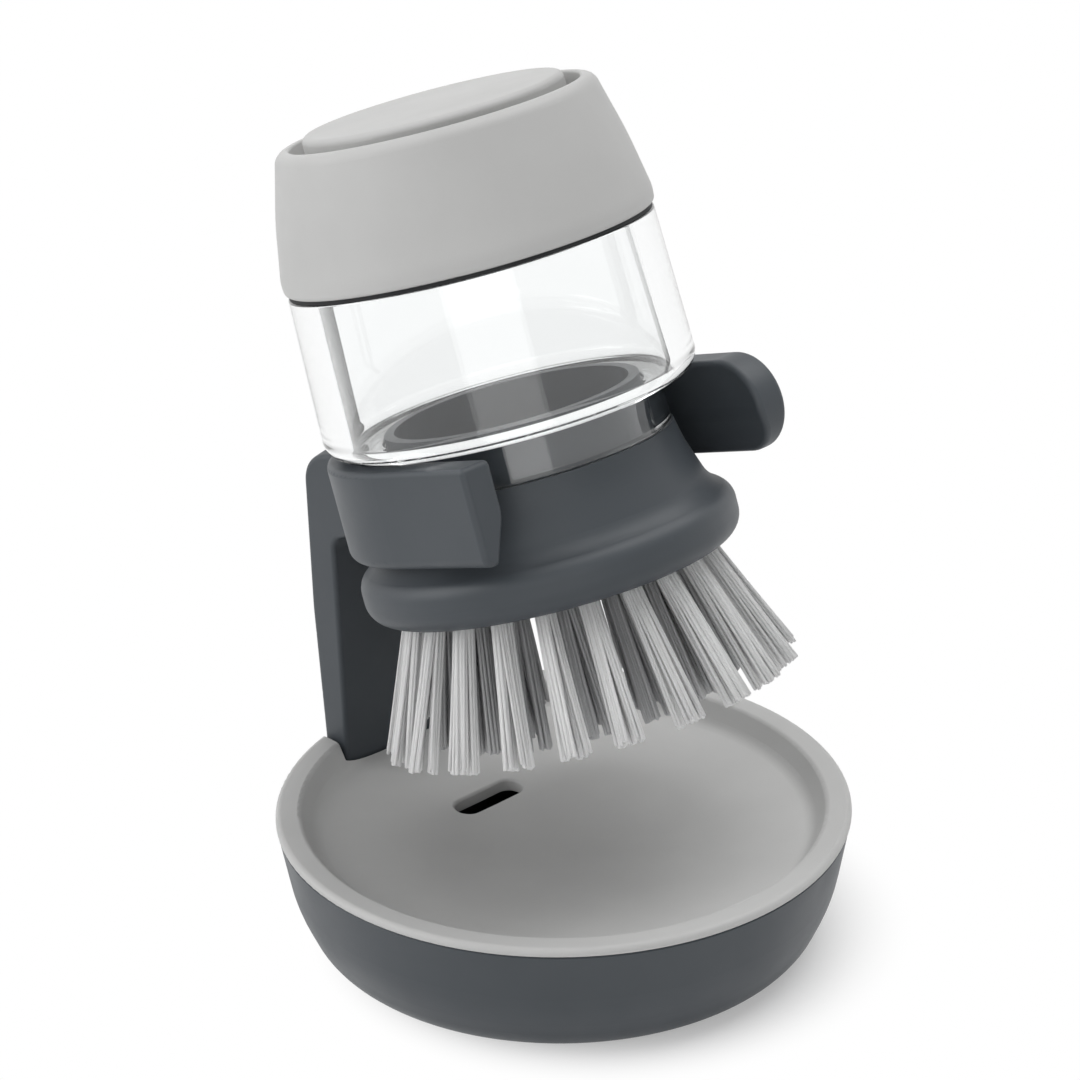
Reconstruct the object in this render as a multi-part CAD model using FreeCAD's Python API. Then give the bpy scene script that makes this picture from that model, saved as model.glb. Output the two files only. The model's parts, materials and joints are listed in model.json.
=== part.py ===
import FreeCAD, Part
import math
import os

# A palm-held dish brush with a soap reservoir, parked in the fork of its storage stand.
# Sizes are in millimetres and angles in degrees.
# The origin is the middle of the foot pad's face, +Z is up, the post stands at +Y and
# the fork opens towards -Y.
# The brush and the fork are drawn upright about the brush's own axis, with zero on the
# underside of the reservoir's shoulder, and are then leaned back onto the stand.

# Shared values
cut_overrun = 1.0
least_edge = 0.00001
push_fit = 0.05
soft_edge = 0.4

# Bowl of the stand
dish_radius = 45.0
bowl_top_inset = 0.2
bowl_height = 20.85
bowl_waist_height = 9.4
bowl_waist_inset = 2.1
bowl_foot_radius = 38.6
bowl_foot_rounding = 7.0
bowl_waist_rounding = 25.0
bowl_wall = 2.4
bowl_floor = 2.8
bowl_inner_rounding = 5.0
bowl_lip_chamfer = 0.35

# Foot pad under the bowl
pad_radius = 29.0
pad_thickness = 1.8
pad_proud = 0.4

# Drip tray
tray_rim_thickness = 1.35
tray_rim_width = 3.9
tray_rim_rounding = 0.95
tray_lip_rounding = 0.3
tray_depth_at_wall = 3.7
tray_dish = 2.4
tray_dish_rounding = 220.0
tray_flat_share = 0.5
tray_wall_slope = 2.2
tray_corner_rounding = 2.4
tray_thickness = 2.0
tray_side_gap = 0.5
drain_length = 13.2
drain_width = 4.5
drain_y = 17.2
drain_rounding = 0.5
notch_gap = 0.45
tray_travel = 8.0

# Lean and place of the brush
lean_angle = 20.0
seat_y = 9.5
seat_z = 86.0
seat_gap = 0.1

# Post of the stand
post_proud = 0.9
post_thickness = 7.7
post_half_width = 11.2
post_flare = 1.8
post_flare_height = 51.0
post_taper = 1.2
post_taper_height = 24.0
post_taper_rounding = 40.0
post_top_rounding = 6.0
post_edge_rounding = 0.8
bridge_drop = 0.9
bridge_bite_share = 0.3
gusset_height = 4.5
gusset_rounding = 3.0
foot_depth = 3.9
foot_height = 7.6
foot_slope = 3.0
foot_rounding = 1.5
socket_wall = 1.6
socket_height = 6.0

# Fork that holds the brush by its neck
fork_height = 15.4
fork_clearance = 0.9
arm_thickness = 5.6
near_arm_reach = 21.5
far_arm_reach = 27.6
fork_straight = 8.6
bell_clearance = 1.2
arm_rounding = 0.9
arm_low_rounding = 1.7
arm_inner_rounding = 6.0

# Screw threads of the reservoir, three starts each
thread_starts = 3
thread_span = 90.0
thread_gap = 0.35
thread_bury = 0.3
thread_tip_share = 0.6
neck_thread_reach = 0.75
neck_thread_height = 1.15
mouth_thread_reach = 0.8
mouth_thread_height = 1.25

# Reservoir
reservoir_height = 25.7
reservoir_low_radius = 29.2
reservoir_top_radius = 28.5
reservoir_wall = 4.2
reservoir_floor = 2.6
reservoir_floor_fall = 0.5
reservoir_rounding = 1.6
reservoir_inner_rounding = 2.4
thread_neck_radius = 21.5
neck_wall = 1.1
neck_band_length = 6.5
neck_thread_length = 7.2
neck_thread_start = 1.1
mouth_radius = 25.9
mouth_wall = 1.6
mouth_height = 6.6
mouth_thread_start = 3.0
mouth_headroom = 0.4

# Cap and its gasket
gasket_thickness = 0.55
gasket_inset = 0.2
cap_height = 21.15
cap_edge_radius = 28.75
cap_edge_rounding = 0.8
cap_belly_rise = 1.9
cap_belly_bulge = 0.25
cap_belly_rounding = 7.0
cap_middle_rise = 11.0
cap_middle_radius = 27.35
cap_middle_rounding = 60.0
cap_top_radius = 24.7
cap_top_rounding = 2.1
shelf_rise = 10.65
shelf_thickness = 2.0
shelf_hole_radius = 13.0
bore_step = 2.1
bore_slope = 2.1
lip_depth = 2.7
lip_rounding = 0.4

# Push button
button_radius = 20.3
button_proud = 1.4
button_rounding = 1.1
button_plate = 2.2
button_skirt = 1.8
button_flange_width = 2.9
button_flange_thickness = 1.4
button_moat = 2.3
button_flange_gap = 0.4
button_stop_gap = 0.1

# Return spring
spring_radius = 15.6
spring_wire_radius = 0.35
spring_turns = 3
spring_steps_per_turn = 4
spring_samples_per_turn = 48
spring_seat_gap = 0.05

# Pump diaphragm and its retainer
diaphragm_wall = 1.0
diaphragm_gap = 0.6
diaphragm_crown_radius = 10.8
diaphragm_rounding = 2.4
diaphragm_flange_width = 7.5
diaphragm_crown_gap = 0.1
retainer_thickness = 1.8
retainer_hole_radius = 11.6

# Brush head
spigot_gap = 0.4
spigot_wall = 1.6
spigot_top = 2.0
collar_wall = 0.7
collar_flush = 0.2
collar_gap = 0.2
seal_thickness = 0.8
seal_gap = 0.1
bell_shoulder_drop = 10.5
bell_shoulder_swell = 0.8
bell_shoulder_rounding = 14.0
bell_flare_drop = 17.2
bell_flare_swell = 3.1
bell_flare_rounding = 5.0
flange_radius = 29.5
flange_top_drop = 19.2
flange_top_rounding = 3.0
flange_low_rounding = 3.5
head_drop = 26.0
cup_floor_drop = 16.4
cup_fall = 1.0

# Plate pressed into the head's underside, which holds the tufts and the valve
plate_thickness = 7.4
plate_rim = 0.5

# Dispensing valve and its retainer
throat_radius = 4.0
valve_pocket_depth = 3.0
valve_flange_radius = 7.8
valve_pocket_gap = 0.1
valve_flange = 1.4
valve_dome_radius = 3.6
valve_dome_taper = 0.5
valve_dome_length = 2.8
valve_wall = 0.8
valve_rounding = 1.0
valve_slit_width = 0.3
valve_slit_length = 4.0
valve_ring_gap = 0.4

# Nylon tufts and the wire anchors that hold them in their holes
tuft_length = 21.2
tuft_root_radius = 1.75
tuft_tip_radius = 3.3
tuft_hole_depth = 6.5
tuft_hole_gap = 0.05
anchor_thickness = 0.4
anchor_height = 1.2
outer_tuft_count = 21
outer_tuft_circle = 22.6
outer_tuft_splay = 21.5
middle_tuft_count = 14
middle_tuft_circle = 17.2
middle_tuft_splay = 12.5
inner_tuft_count = 8
inner_tuft_circle = 11.9
inner_tuft_splay = 5.5

# Places worked out from the sizes above
bowl_top_radius = dish_radius - bowl_top_inset
bowl_waist_radius = bowl_top_radius - bowl_waist_inset
bowl_floor_top = pad_proud + bowl_floor
tray_top = bowl_height + tray_rim_thickness
tray_floor_edge = tray_top - tray_depth_at_wall
tray_floor_middle = tray_floor_edge - tray_dish
post_back = dish_radius + post_proud
post_face = post_back - post_thickness
bowl_narrowest = min(bowl_foot_radius - bowl_wall / 2, bowl_waist_radius - bowl_wall)
foot_front = bowl_narrowest - foot_depth

neck_bore = thread_neck_radius - neck_wall
collar_bore = thread_neck_radius + neck_thread_reach + thread_gap
collar_radius = collar_bore + collar_wall
neck_radius = collar_radius - collar_flush
neck_bottom = -neck_band_length - neck_thread_length
collar_top = -neck_band_length - collar_gap
seal_floor = neck_bottom - seal_thickness
spigot_radius = neck_bore - spigot_gap
bell_shoulder_radius = collar_radius + bell_shoulder_swell
bell_flare_radius = collar_radius + bell_flare_swell
plate_radius = flange_radius - flange_low_rounding - plate_rim
plate_top = plate_thickness - head_drop

mouth_bore = mouth_radius - mouth_wall
cap_bore = mouth_radius + mouth_thread_reach + thread_gap
cap_high_bore = cap_bore - bore_step
cap_bore_top = reservoir_height + mouth_height + mouth_headroom
cap_bottom = reservoir_height + gasket_thickness
cap_top = cap_bottom + cap_height
shelf_bottom = cap_bottom + shelf_rise
shelf_top = shelf_bottom + shelf_thickness
lip_bottom = cap_top - lip_depth
lip_radius = button_radius + button_moat
button_flange_radius = button_radius + button_flange_width
cap_well_radius = button_flange_radius + button_flange_gap
button_top = cap_top + button_proud
button_ceiling = button_top - button_plate
button_flange_top = lip_bottom - button_stop_gap
button_flange_bottom = button_flange_top - button_flange_thickness

fork_top = -seat_gap
fork_bottom = fork_top - fork_height
fork_half_width = neck_radius + fork_clearance
fork_outer = fork_half_width + arm_thickness

neck_thread_pitch = 2 * (neck_thread_height + thread_gap)
mouth_thread_pitch = 2 * (mouth_thread_height + thread_gap)
neck_thread_lead = thread_starts * neck_thread_pitch
mouth_thread_lead = thread_starts * mouth_thread_pitch

ORIGIN = FreeCAD.Vector(0, 0, 0)
X_AXIS = FreeCAD.Vector(1, 0, 0)
Z_AXIS = FreeCAD.Vector(0, 0, 1)
FULL_TURN = 360.0
HALF_TURN = 180.0
QUARTER_TURN = 90.0
SHARP_ANGLE = 15.0


def rounded_wire(corners):
    """Closed wire in the XZ plane through corners given as (x, z) or (x, z, rounding).

    Two roundings that would run into each other are drawn smaller, so that they meet.
    """
    count = len(corners)
    points = [FreeCAD.Vector(corner[0], 0, corner[1]) for corner in corners]
    roundings = [corner[2] if len(corner) > 2 else 0 for corner in corners]
    sides = [points[(index + 1) % count] - points[index] for index in range(count)]
    lengths = [side.Length for side in sides]
    ways = [side.normalize() for side in sides]
    halves = [(ways[index - 1] * -1).getAngle(ways[index]) / 2 for index in range(count)]
    reaches = [rounding / math.tan(half) for rounding, half in zip(roundings, halves)]
    fits = [lengths[index] / max(lengths[index], reaches[index] + reaches[(index + 1) % count])
            for index in range(count)]
    stretches = []
    for index, point in enumerate(points):
        if roundings[index] == 0:
            stretches.append((point, None, point))
            continue
        fit = min(fits[index - 1], fits[index])
        enter = point - ways[index - 1] * reaches[index] * fit
        leave = point + ways[index] * reaches[index] * fit
        depth = (1 / math.sin(halves[index]) - 1) * roundings[index] * fit
        inward = (ways[index] - ways[index - 1]).normalize()
        stretches.append((enter, point + inward * depth, leave))
    edges = []
    for index, (enter, middle, leave) in enumerate(stretches):
        if middle is not None:
            edges.append(Part.Arc(enter, middle, leave).toShape())
        following = stretches[(index + 1) % count][0]
        if leave.distanceToPoint(following) > least_edge:
            edges.append(Part.LineSegment(leave, following).toShape())
    return Part.Wire(edges)


def turned(corners, angle=FULL_TURN):
    """Solid of revolution about Z of the outline that the corners give."""
    return Part.Face(rounded_wire(corners)).revolve(ORIGIN, Z_AXIS, angle)


def sharp_edges(shape, wanted):
    """Edges of the shape where two faces meet at an angle, if wanted says yes to their middle."""
    sharp = []
    for edge in shape.Edges:
        middle = edge.valueAt((edge.FirstParameter + edge.LastParameter) / 2)
        faces = shape.ancestorsOfType(edge, Part.Face)
        if len(faces) != 2 or not wanted(middle):
            continue
        normals = [face.normalAt(*face.Surface.parameter(middle)) for face in faces]
        if normals[0].getAngle(normals[1]) > math.radians(SHARP_ANGLE):
            sharp.append(edge)
    return sharp


def box_between(low, high):
    """Box from its low corner to its high corner, both given as (x, y, z)."""
    sizes = [high[axis] - low[axis] for axis in range(3)]
    return Part.makeBox(*sizes, FreeCAD.Vector(*low))


def leaned(shape):
    """The shape moved from the brush's own upright frame to its place on the stand."""
    turn = FreeCAD.Rotation(X_AXIS, -lean_angle)
    place = FreeCAD.Placement(FreeCAD.Vector(0, seat_y, seat_z), turn)
    return moved(shape, place)


def moved(shape, place):
    """A copy of the shape with the placement applied in front of its own."""
    copy = shape.copy()
    copy.Placement = place.multiply(copy.Placement)
    return copy


def leaned_point(y, z):
    """Stand coordinates (y, z) of a point in the brush's middle plane."""
    angle = math.radians(lean_angle)
    return (seat_y + y * math.cos(angle) + z * math.sin(angle),
            seat_z - y * math.sin(angle) + z * math.cos(angle))


def spaced(shape, count, first_angle=0):
    """Copies of the shape at even steps round the Z axis."""
    copies = []
    for index in range(count):
        turn = FreeCAD.Rotation(Z_AXIS, first_angle + index * FULL_TURN / count)
        copies.append(moved(shape, FreeCAD.Placement(ORIGIN, turn)))
    return copies


def thread_ridges(wall_radius, reach, height, lead, start_z):
    """Helical ridges standing out of a wall, outwards for a positive reach."""
    inward = -math.copysign(thread_bury, reach)
    tip_half = height * thread_tip_share / 2
    section = Part.makePolygon([
        FreeCAD.Vector(wall_radius + inward, 0, -height / 2),
        FreeCAD.Vector(wall_radius + reach, 0, -tip_half),
        FreeCAD.Vector(wall_radius + reach, 0, tip_half),
        FreeCAD.Vector(wall_radius + inward, 0, height / 2),
        FreeCAD.Vector(wall_radius + inward, 0, -height / 2)])
    spine = Part.makeHelix(lead, lead * thread_span / FULL_TURN, wall_radius)
    ridge = Part.Wire(spine).makePipeShell([section], True, True)
    lifted = moved(ridge, FreeCAD.Placement(FreeCAD.Vector(0, 0, start_z), FreeCAD.Rotation()))
    return spaced(lifted, thread_starts)


def bowl_inner_corners(clearance=0):
    """Outline of the space inside the bowl, drawn in by a clearance, up to its rim."""
    return [
        (0, bowl_floor_top),
        (bowl_foot_radius - bowl_wall / 2 - clearance, bowl_floor_top, bowl_inner_rounding),
        (bowl_waist_radius - bowl_wall - clearance, bowl_waist_height, bowl_waist_rounding),
        (bowl_top_radius - bowl_wall - clearance, bowl_height)]


def bowl_inner_radius(height):
    """Inner radius of the bowl's straight upper wall at a height."""
    share = (height - bowl_waist_height) / (bowl_height - bowl_waist_height)
    return bowl_waist_radius - bowl_wall + share * bowl_waist_inset


def make_base_bowl():
    """Dark bowl with the recess for its foot pad and the socket for the post's foot."""
    outside = turned([
        (0, pad_proud),
        (bowl_foot_radius, pad_proud, bowl_foot_rounding),
        (bowl_waist_radius, bowl_waist_height, bowl_waist_rounding),
        (bowl_top_radius, bowl_height - bowl_lip_chamfer),
        (bowl_top_radius - bowl_lip_chamfer, bowl_height),
        (0, bowl_height)])
    inside = turned(bowl_inner_corners() + [(0, bowl_height)])
    reach = post_half_width + push_fit + socket_wall
    front = foot_front - push_fit - socket_wall
    block = box_between((-reach, front, pad_proud), (reach, dish_radius, bowl_floor_top + socket_height))
    pocket = box_between(
        (-post_half_width - push_fit, foot_front - push_fit, bowl_floor_top),
        (post_half_width + push_fit, dish_radius, bowl_height))
    socket = block.common(outside).cut(pocket.common(inside))
    pad_recess = Part.makeCylinder(pad_radius + push_fit, pad_thickness)
    return outside.cut(inside).fuse(socket).cut(pad_recess).removeSplitter()


def make_foot_pad():
    """Non-slip disc that the stand rests on."""
    return turned([
        (0, 0),
        (pad_radius, 0, soft_edge),
        (pad_radius, pad_thickness),
        (0, pad_thickness)])


def post_half_width_at(height):
    """Half width of the post, which widens evenly upwards from the tray."""
    return post_half_width + post_flare * max(0, height - tray_top) / post_flare_height


def make_drip_tray():
    """Dished tray with a rim that rests on the bowl, a drain slot and a notch for the post."""
    wall_top = dish_radius - tray_rim_width
    wall_bottom = wall_top - tray_wall_slope
    skirt_bottom = tray_floor_edge - tray_thickness
    skirt_top_radius = bowl_inner_radius(bowl_height) - tray_side_gap
    skirt_low_radius = bowl_inner_radius(skirt_bottom) - tray_side_gap
    flat_edge = wall_bottom * tray_flat_share
    body = turned([
        (0, tray_floor_middle),
        (flat_edge, tray_floor_middle, tray_dish_rounding),
        (wall_bottom, tray_floor_edge, tray_corner_rounding),
        (wall_top, tray_top, tray_rim_rounding),
        (dish_radius, tray_top, tray_rim_rounding),
        (dish_radius, bowl_height, tray_lip_rounding),
        (skirt_top_radius, bowl_height),
        (skirt_low_radius, skirt_bottom, tray_rim_rounding),
        (flat_edge, tray_floor_middle - tray_thickness, tray_dish_rounding),
        (0, tray_floor_middle - tray_thickness)])
    end_radius = drain_width / 2
    half_run = drain_length / 2 - end_radius
    low = tray_floor_middle - tray_thickness - cut_overrun
    high = tray_top + cut_overrun
    drain = box_between((-half_run, drain_y - end_radius, low), (half_run, drain_y + end_radius, high))
    for x in (-half_run, half_run):
        drain = drain.fuse(Part.makeCylinder(end_radius, high - low, FreeCAD.Vector(x, drain_y, low)))
    notch_half = post_half_width_at(tray_top + tray_travel) + notch_gap
    notch = box_between(
        (-notch_half, post_face - notch_gap, low),
        (notch_half, dish_radius + cut_overrun, high))
    tray = body.cut(drain.removeSplitter()).cut(notch)
    under = tray_floor_middle - tray_thickness / 2

    def at_drain(point):
        return abs(point.x) < drain_length and abs(point.y - drain_y) < drain_width and point.z > under

    return tray.makeFillet(drain_rounding, sharp_edges(tray, at_drain))


def bell_radius_at(height):
    """Radius of the brush head's straight-sided waist at a height below its shoulder."""
    share = (-height - bell_shoulder_drop) / (bell_flare_drop - bell_shoulder_drop)
    return bell_shoulder_radius + share * (bell_flare_radius - bell_shoulder_radius)


def fork_low_half_width():
    """Half width between the fork's arms at their lower edge, clear of the brush head."""
    return bell_radius_at(fork_bottom) + bell_clearance


def fork_section(rounding):
    """Section of the fork's arm, upright and tapered inside towards its lower edge."""
    return Part.Face(rounded_wire([
        (fork_half_width, fork_top, rounding),
        (fork_half_width, fork_top - fork_straight, arm_inner_rounding),
        (fork_low_half_width(), fork_bottom, rounding),
        (fork_outer, fork_bottom, arm_low_rounding),
        (fork_outer, fork_top, rounding)]))


def make_fork():
    """Two arms joined by a half ring; one arm ends square, the other in a round lobe."""
    half_ring = fork_section(arm_rounding).revolve(ORIGIN, Z_AXIS, HALF_TURN)
    section = fork_section(0)
    far_arm = section.extrude(FreeCAD.Vector(0, -far_arm_reach, 0))
    near_arm = section.mirror(ORIGIN, X_AXIS).extrude(FreeCAD.Vector(0, -near_arm_reach, 0))
    lobe_radius = fork_height / 2
    lobe_y = lobe_radius - far_arm_reach
    spare = box_between(
        (0, -far_arm_reach - cut_overrun, fork_bottom - cut_overrun),
        (fork_outer + cut_overrun, lobe_y, fork_top + cut_overrun))
    lobe = Part.makeCylinder(
        lobe_radius, fork_outer + 2 * cut_overrun,
        FreeCAD.Vector(-cut_overrun, lobe_y, fork_bottom + lobe_radius), X_AXIS)
    far_arm = far_arm.cut(spare.cut(lobe))
    arms = [arm.makeFillet(arm_rounding, sharp_edges(arm, lambda point: point.y < -least_edge))
            for arm in (far_arm, near_arm)]
    return half_ring.fuse(arms).removeSplitter()


def make_cradle_upright():
    """Post with its foot in the bowl, and the fork that it carries at the brush's lean."""
    bite = fork_half_width + bridge_bite_share * arm_thickness
    bridge_top = fork_top - bridge_drop
    front_high = leaned_point(bite, bridge_top)
    front_low = leaned_point(bite, fork_bottom + bridge_drop)
    slope = math.tan(math.radians(lean_angle))
    crest = front_high[1] + front_high[0] * slope
    back_top = crest - post_back * slope
    slab_back = post_back + cut_overrun
    gusset_z = front_low[1] - gusset_height
    foot_top = bowl_floor_top + foot_height
    side = Part.Face(rounded_wire([
        (foot_front, bowl_floor_top),
        (foot_front, foot_top, foot_rounding),
        (post_face, foot_top + foot_slope, foot_rounding),
        (post_face, gusset_z, gusset_rounding),
        front_low,
        front_high,
        (front_high[0], crest),
        (slab_back, crest),
        (slab_back, bowl_floor_top)]))
    side.rotate(ORIGIN, Z_AXIS, QUARTER_TURN)
    widest = post_half_width + post_flare + cut_overrun
    slab = moved(side, FreeCAD.Placement(FreeCAD.Vector(-widest, 0, 0), FreeCAD.Rotation()))
    slab = slab.extrude(FreeCAD.Vector(2 * widest, 0, 0))
    crest_half = post_half_width_at(crest)
    front = Part.Face(rounded_wire([
        (-post_half_width, bowl_floor_top),
        (post_half_width, bowl_floor_top),
        (post_half_width, tray_top),
        (crest_half, crest),
        (-crest_half, crest),
        (-post_half_width, tray_top)]))
    front_slab = front.extrude(FreeCAD.Vector(0, post_back + cut_overrun, 0))
    taper_top = bowl_height + post_taper_height
    plan = turned(bowl_inner_corners(push_fit) + [
        (post_back - post_taper, bowl_height),
        (post_back, taper_top, post_taper_rounding),
        (post_back, back_top, post_top_rounding),
        (0, crest)])
    neck_space = turned([
        (0, fork_top + cut_overrun),
        (fork_half_width, fork_top + cut_overrun),
        (fork_half_width, fork_top - fork_straight, arm_inner_rounding),
        (fork_low_half_width(), fork_bottom),
        (fork_low_half_width(), fork_bottom - cut_overrun),
        (0, fork_bottom - cut_overrun)])
    post = slab.common(front_slab).common(plan).removeSplitter()
    post = post.makeFillet(post_edge_rounding, sharp_edges(
        post, lambda point: point.z > bowl_height and point.y > front_high[0] + least_edge))
    return post.cut(leaned(neck_space)).fuse(leaned(make_fork())).removeSplitter()


def make_reservoir():
    """Clear tank with a threaded mouth above and a stepped, threaded neck below."""
    low_inner = reservoir_low_radius - reservoir_wall
    body = turned([
        (neck_bore, neck_bottom),
        (thread_neck_radius, neck_bottom),
        (thread_neck_radius, -neck_band_length),
        (neck_radius, -neck_band_length),
        (neck_radius, 0),
        (reservoir_low_radius, 0, reservoir_rounding),
        (reservoir_top_radius, reservoir_height),
        (mouth_radius, reservoir_height),
        (mouth_radius, reservoir_height + mouth_height),
        (mouth_bore, reservoir_height + mouth_height),
        (low_inner, reservoir_floor, reservoir_inner_rounding),
        (neck_bore, reservoir_floor - reservoir_floor_fall)])
    neck_thread = thread_ridges(
        thread_neck_radius, neck_thread_reach, neck_thread_height, neck_thread_lead,
        neck_bottom + neck_thread_start)
    mouth_thread = thread_ridges(
        mouth_radius, mouth_thread_reach, mouth_thread_height, mouth_thread_lead,
        reservoir_height + mouth_thread_start)
    return body.fuse(neck_thread + mouth_thread)


def make_cap_gasket():
    """Flat ring between the reservoir's top edge and the cap."""
    inner = cap_bore + gasket_inset
    outer = reservoir_top_radius - gasket_inset
    return turned([
        (inner, reservoir_height),
        (outer, reservoir_height),
        (outer, cap_bottom),
        (inner, cap_bottom)])


def make_cap_shell():
    """Cap with a thread inside its skirt, the pump's shelf and the button's well."""
    body = turned([
        (cap_bore, cap_bottom),
        (cap_edge_radius, cap_bottom, cap_edge_rounding),
        (cap_edge_radius + cap_belly_bulge, cap_bottom + cap_belly_rise, cap_belly_rounding),
        (cap_middle_radius, cap_bottom + cap_middle_rise, cap_middle_rounding),
        (cap_top_radius, cap_top, cap_top_rounding),
        (lip_radius, cap_top, lip_rounding),
        (lip_radius, lip_bottom),
        (cap_well_radius, lip_bottom),
        (cap_well_radius, shelf_top),
        (shelf_hole_radius, shelf_top),
        (shelf_hole_radius, shelf_bottom),
        (cap_high_bore, shelf_bottom),
        (cap_high_bore, cap_bore_top + bore_slope),
        (cap_bore, cap_bore_top)])
    thread = thread_ridges(
        cap_bore, -mouth_thread_reach, mouth_thread_height, mouth_thread_lead,
        reservoir_height + mouth_thread_start - mouth_thread_pitch / 2)
    return body.fuse(thread)


def make_push_button():
    """Disc with a skirt, whose flange is caught under the cap's lip."""
    skirt_inner = button_radius - button_skirt
    return turned([
        (0, button_top),
        (button_radius, button_top, button_rounding),
        (button_radius, button_flange_top),
        (button_flange_radius, button_flange_top),
        (button_flange_radius, button_flange_bottom),
        (skirt_inner, button_flange_bottom),
        (skirt_inner, button_ceiling, soft_edge),
        (0, button_ceiling)])


def spring_point(turn, low, high):
    """Point and direction of the spring's centre line after a number of turns."""
    angle = 2 * math.pi * turn
    pitch = (high - low) / spring_turns
    point = FreeCAD.Vector(
        spring_radius * math.cos(angle), spring_radius * math.sin(angle), low + pitch * turn)
    along = FreeCAD.Vector(
        -spring_radius * math.sin(angle), spring_radius * math.cos(angle), pitch / (2 * math.pi))
    return point, along.normalize()


def tangent_arc(start, apex, end):
    """Arc that leaves start towards apex and comes into end from apex."""
    to_start = (start - apex).normalize()
    to_end = (end - apex).normalize()
    half_angle = to_start.getAngle(to_end) / 2
    leg = start.distanceToPoint(apex)
    depth = leg * (1 - math.sin(half_angle)) / math.cos(half_angle)
    return Part.Arc(start, apex + (to_start + to_end).normalize() * depth, end).toShape()


def biarc(start, start_way, end, end_way):
    """Two arcs that run smoothly from one point and direction to another."""
    across = end - start
    ways = start_way + end_way
    bend = 2 * (1 - start_way.dot(end_way))
    run = across.dot(ways)
    leg = (math.sqrt(run * run + bend * across.dot(across)) - run) / bend
    first_apex = start + start_way * leg
    second_apex = end - end_way * leg
    meeting = (first_apex + second_apex) * 0.5
    return [tangent_arc(start, first_apex, meeting), tangent_arc(meeting, second_apex, end)]


def least_spacing(points, apart):
    """Least distance between two points of a line that lie a number of points apart or more."""
    return min(points[first].distanceToPoint(points[second])
               for first in range(len(points))
               for second in range(first + apart, len(points)))


def make_button_spring():
    """Coil that lifts the button again, seated on the cap's shelf."""
    low = shelf_top + spring_wire_radius + spring_seat_gap
    high = button_ceiling - spring_wire_radius - spring_seat_gap
    edges = []
    for step in range(spring_turns * spring_steps_per_turn):
        start, start_way = spring_point(step / spring_steps_per_turn, low, high)
        end, end_way = spring_point((step + 1) / spring_steps_per_turn, low, high)
        edges += biarc(start, start_way, end, end_way)
    first_point, first_way = spring_point(0, low, high)
    circle = Part.Wire(Part.Circle(first_point, first_way, spring_wire_radius).toShape())
    centres = [spring_point(index / spring_samples_per_turn, low, high)[0]
               for index in range(spring_turns * spring_samples_per_turn + 1)]
    gap = least_spacing(centres, spring_samples_per_turn // 2) - 2 * spring_wire_radius
    print("least gap between the spring's turns", round(gap, 2), "mm")
    return Part.Wire(edges).makePipeShell([circle], True, False)


def make_pump_diaphragm():
    """Silicone bellows cap that the button presses to push air into the reservoir."""
    foot_radius = shelf_hole_radius - diaphragm_gap
    crown = button_ceiling - diaphragm_crown_gap
    flange_radius_here = shelf_hole_radius + diaphragm_flange_width
    flange_bottom = shelf_bottom - diaphragm_wall
    return turned([
        (0, crown),
        (diaphragm_crown_radius, crown, diaphragm_rounding),
        (foot_radius, shelf_bottom),
        (flange_radius_here, shelf_bottom),
        (flange_radius_here, flange_bottom),
        (foot_radius - diaphragm_wall, flange_bottom),
        (diaphragm_crown_radius - diaphragm_wall, crown - diaphragm_wall, diaphragm_rounding),
        (0, crown - diaphragm_wall)])


def make_diaphragm_retainer():
    """Ring pressed into the cap that clamps the diaphragm's flange to the shelf."""
    top = shelf_bottom - diaphragm_wall
    outer = cap_high_bore - push_fit
    return turned([
        (retainer_hole_radius, top),
        (outer, top),
        (outer, top - retainer_thickness, soft_edge),
        (retainer_hole_radius, top - retainer_thickness, soft_edge)])


def make_neck_seal():
    """Flat seal under the end of the reservoir's neck."""
    inner = spigot_radius + seal_gap
    outer = collar_bore - seal_gap
    return turned([
        (inner, seal_floor),
        (outer, seal_floor),
        (outer, neck_bottom),
        (inner, neck_bottom)])


def tuft_rings():
    """Count, circle radius and splay angle of each ring of tufts, by its name."""
    return {
        "outer": (outer_tuft_count, outer_tuft_circle, outer_tuft_splay),
        "middle": (middle_tuft_count, middle_tuft_circle, middle_tuft_splay),
        "inner": (inner_tuft_count, inner_tuft_circle, inner_tuft_splay)}


def on_tuft_axis(shape, circle, splay):
    """A shape drawn downwards from the origin, moved to a tuft's root and splayed outwards."""
    turn = FreeCAD.Rotation(FreeCAD.Vector(0, 1, 0), -splay)
    return moved(shape, FreeCAD.Placement(FreeCAD.Vector(circle, 0, -head_drop), turn))


def tuft_holes():
    """Cutters for all the tuft holes in the plate's underside."""
    radius = tuft_root_radius + tuft_hole_gap
    hole = Part.makeCylinder(
        radius, tuft_hole_depth + tuft_root_radius, FreeCAD.Vector(0, 0, -tuft_root_radius))
    holes = []
    for count, circle, splay in tuft_rings().values():
        holes += spaced(on_tuft_axis(hole, circle, splay), count)
    return holes


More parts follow.
